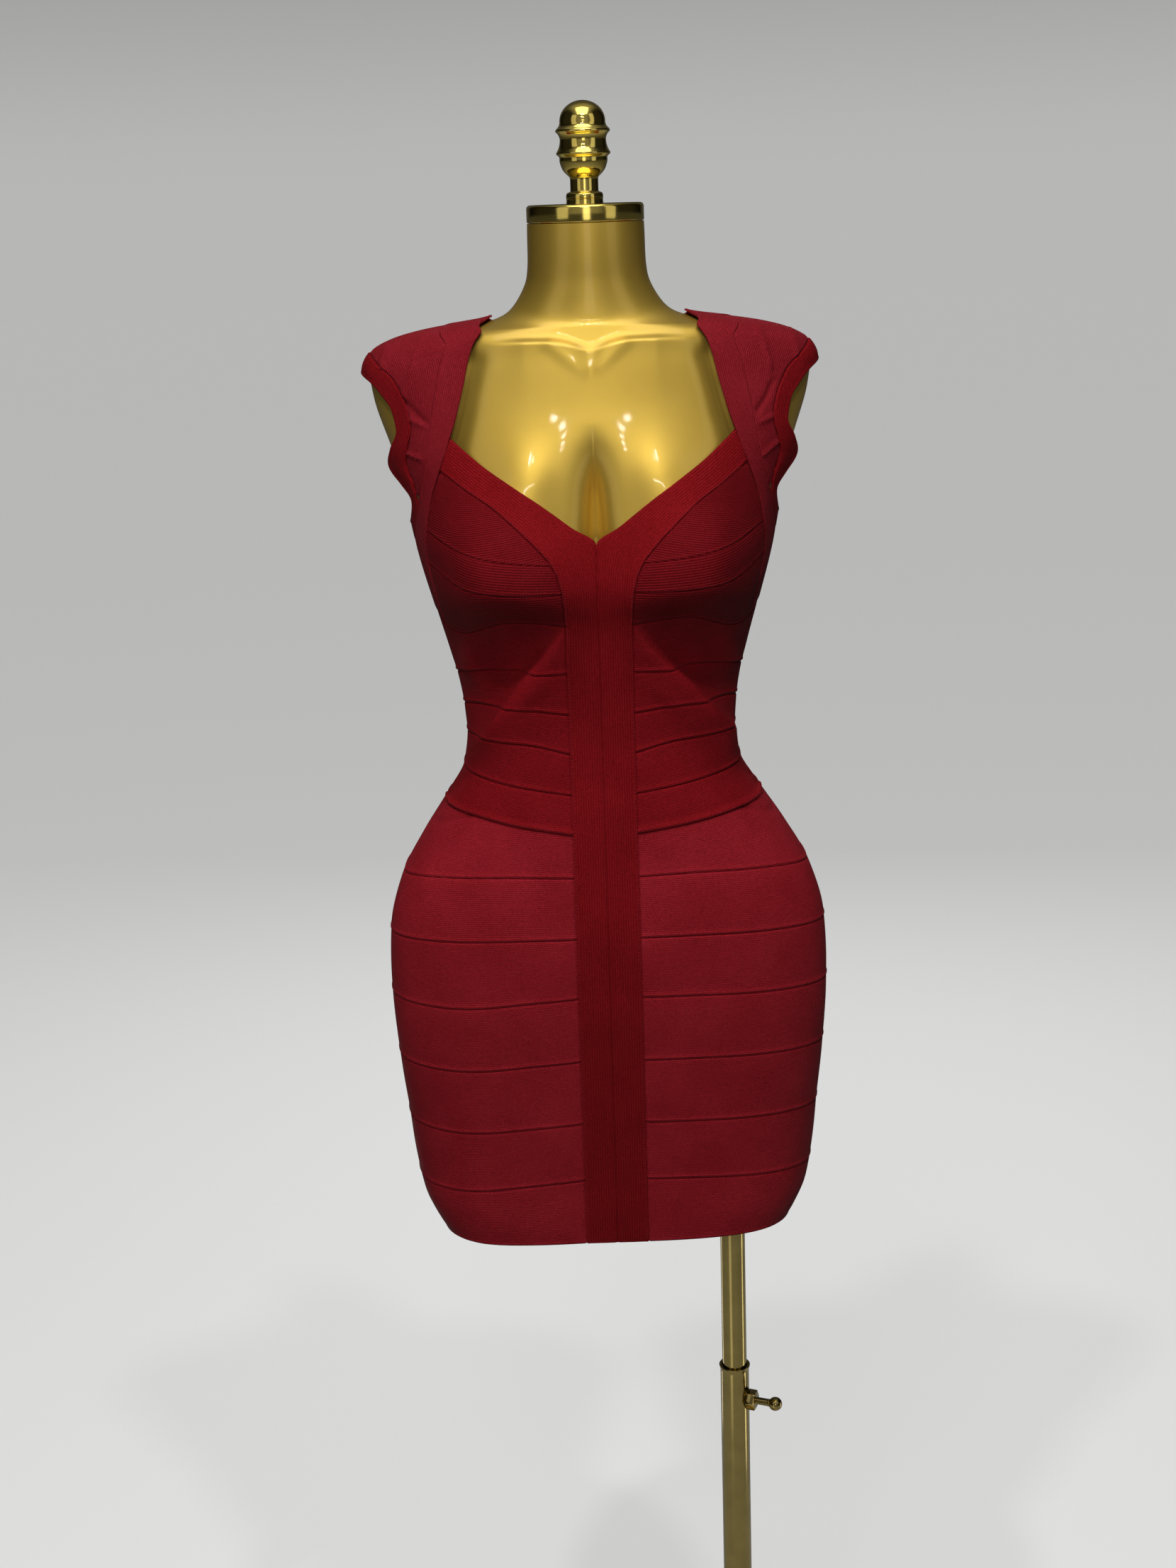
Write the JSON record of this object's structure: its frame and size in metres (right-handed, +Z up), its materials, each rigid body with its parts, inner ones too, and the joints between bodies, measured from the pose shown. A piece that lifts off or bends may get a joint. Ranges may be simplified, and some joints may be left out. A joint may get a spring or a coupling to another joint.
{
  "type": "bandage dress on a limbless dress form with a pole stand",
  "caption": "Short bodycon dress of sewn stretch bands with a V neck, worn by a limbless dress form on a telescopic pole with a round base.",
  "frame": {"origin": "centre of the round base's underside, on the floor", "axes": "+Z up along the body, the front of the dress faces -Y, +X towards the wearer's left"},
  "size_m": [0.38, 0.38, 1.5761],
  "materials": {
    "bandage_knit": "heavy ribbed stretch knit with a dull sheen",
    "gold_form": "gold lacquer, satin to gloss, over a moulded shell",
    "polished_brass": "polished",
    "stand_metal": "polished, gold-toned plating"
  },
  "bodies": {
    "stand": {"base_plate": "stand_metal", "mast": "stand_metal"},
    "clamp": {"clamp_screw": "stand_metal"},
    "height_pole": {"pole": "stand_metal"},
    "form": {"armhole_band_left": "bandage_knit", "armhole_band_right": "bandage_knit", "back_midriff_band_1": "bandage_knit", "back_midriff_band_2": "bandage_knit", "back_midriff_band_3": "bandage_knit", "back_midriff_band_4": "bandage_knit", "back_midriff_band_5": "bandage_knit", "back_skirt_band_1": "bandage_knit", "back_skirt_band_2": "bandage_knit", "back_skirt_band_3": "bandage_knit", "back_skirt_band_4": "bandage_knit", "back_skirt_band_5": "bandage_knit", "back_skirt_band_6": "bandage_knit", "back_skirt_band_7": "bandage_knit", "back_upper_band_1": "bandage_knit", "back_upper_band_2": "bandage_knit", "dress_form": "gold_form", "front_cup_band_1_left": "bandage_knit", "front_cup_band_1_right": "bandage_knit", "front_cup_band_2_left": "bandage_knit", "front_cup_band_2_right": "bandage_knit", "front_cup_band_3_left": "bandage_knit", "front_cup_band_3_right": "bandage_knit", "front_midriff_band_1_left": "bandage_knit", "front_midriff_band_1_right": "bandage_knit", "front_midriff_band_2_left": "bandage_knit", "front_midriff_band_2_right": "bandage_knit", "front_midriff_band_3_left": "bandage_knit", "front_midriff_band_3_right": "bandage_knit", "front_midriff_band_4_left": "bandage_knit", "front_midriff_band_4_right": "bandage_knit", "front_midriff_band_5_left": "bandage_knit", "front_midriff_band_5_right": "bandage_knit", "front_skirt_band_1_left": "bandage_knit", "front_skirt_band_1_right": "bandage_knit", "front_skirt_band_2_left": "bandage_knit", "front_skirt_band_2_right": "bandage_knit", "front_skirt_band_3_left": "bandage_knit", "front_skirt_band_3_right": "bandage_knit", "front_skirt_band_4_left": "bandage_knit", "front_skirt_band_4_right": "bandage_knit", "front_skirt_band_5_left": "bandage_knit", "front_skirt_band_5_right": "bandage_knit", "front_skirt_band_6_left": "bandage_knit", "front_skirt_band_6_right": "bandage_knit", "front_skirt_band_7_left": "bandage_knit", "front_skirt_band_7_right": "bandage_knit", "neck_and_centre_band_left": "bandage_knit", "neck_and_centre_band_right": "bandage_knit", "neck_cap": "polished_brass", "shoulder_panel_left": "bandage_knit", "shoulder_panel_right": "bandage_knit", "strap_left": "bandage_knit", "strap_right": "bandage_knit"}
  },
  "joints": [
    {"name": "clamp_turn", "type": "hinge", "parent": "stand", "child": "clamp", "pos_m": [0.1, 0.03, 0.48], "axis": [0.9272, -0.3746, 0], "range_deg": [0, 360]},
    {"name": "height_slide", "type": "slide", "parent": "stand", "child": "height_pole", "axis": [0, 0, 1], "range_m": [-0.175, 0.2]},
    {"name": "form_swivel", "type": "hinge", "parent": "height_pole", "child": "form", "pos_m": [0.1, 0.03, 0.74], "axis": [0, 0, 1], "continuous": true}
  ]
}
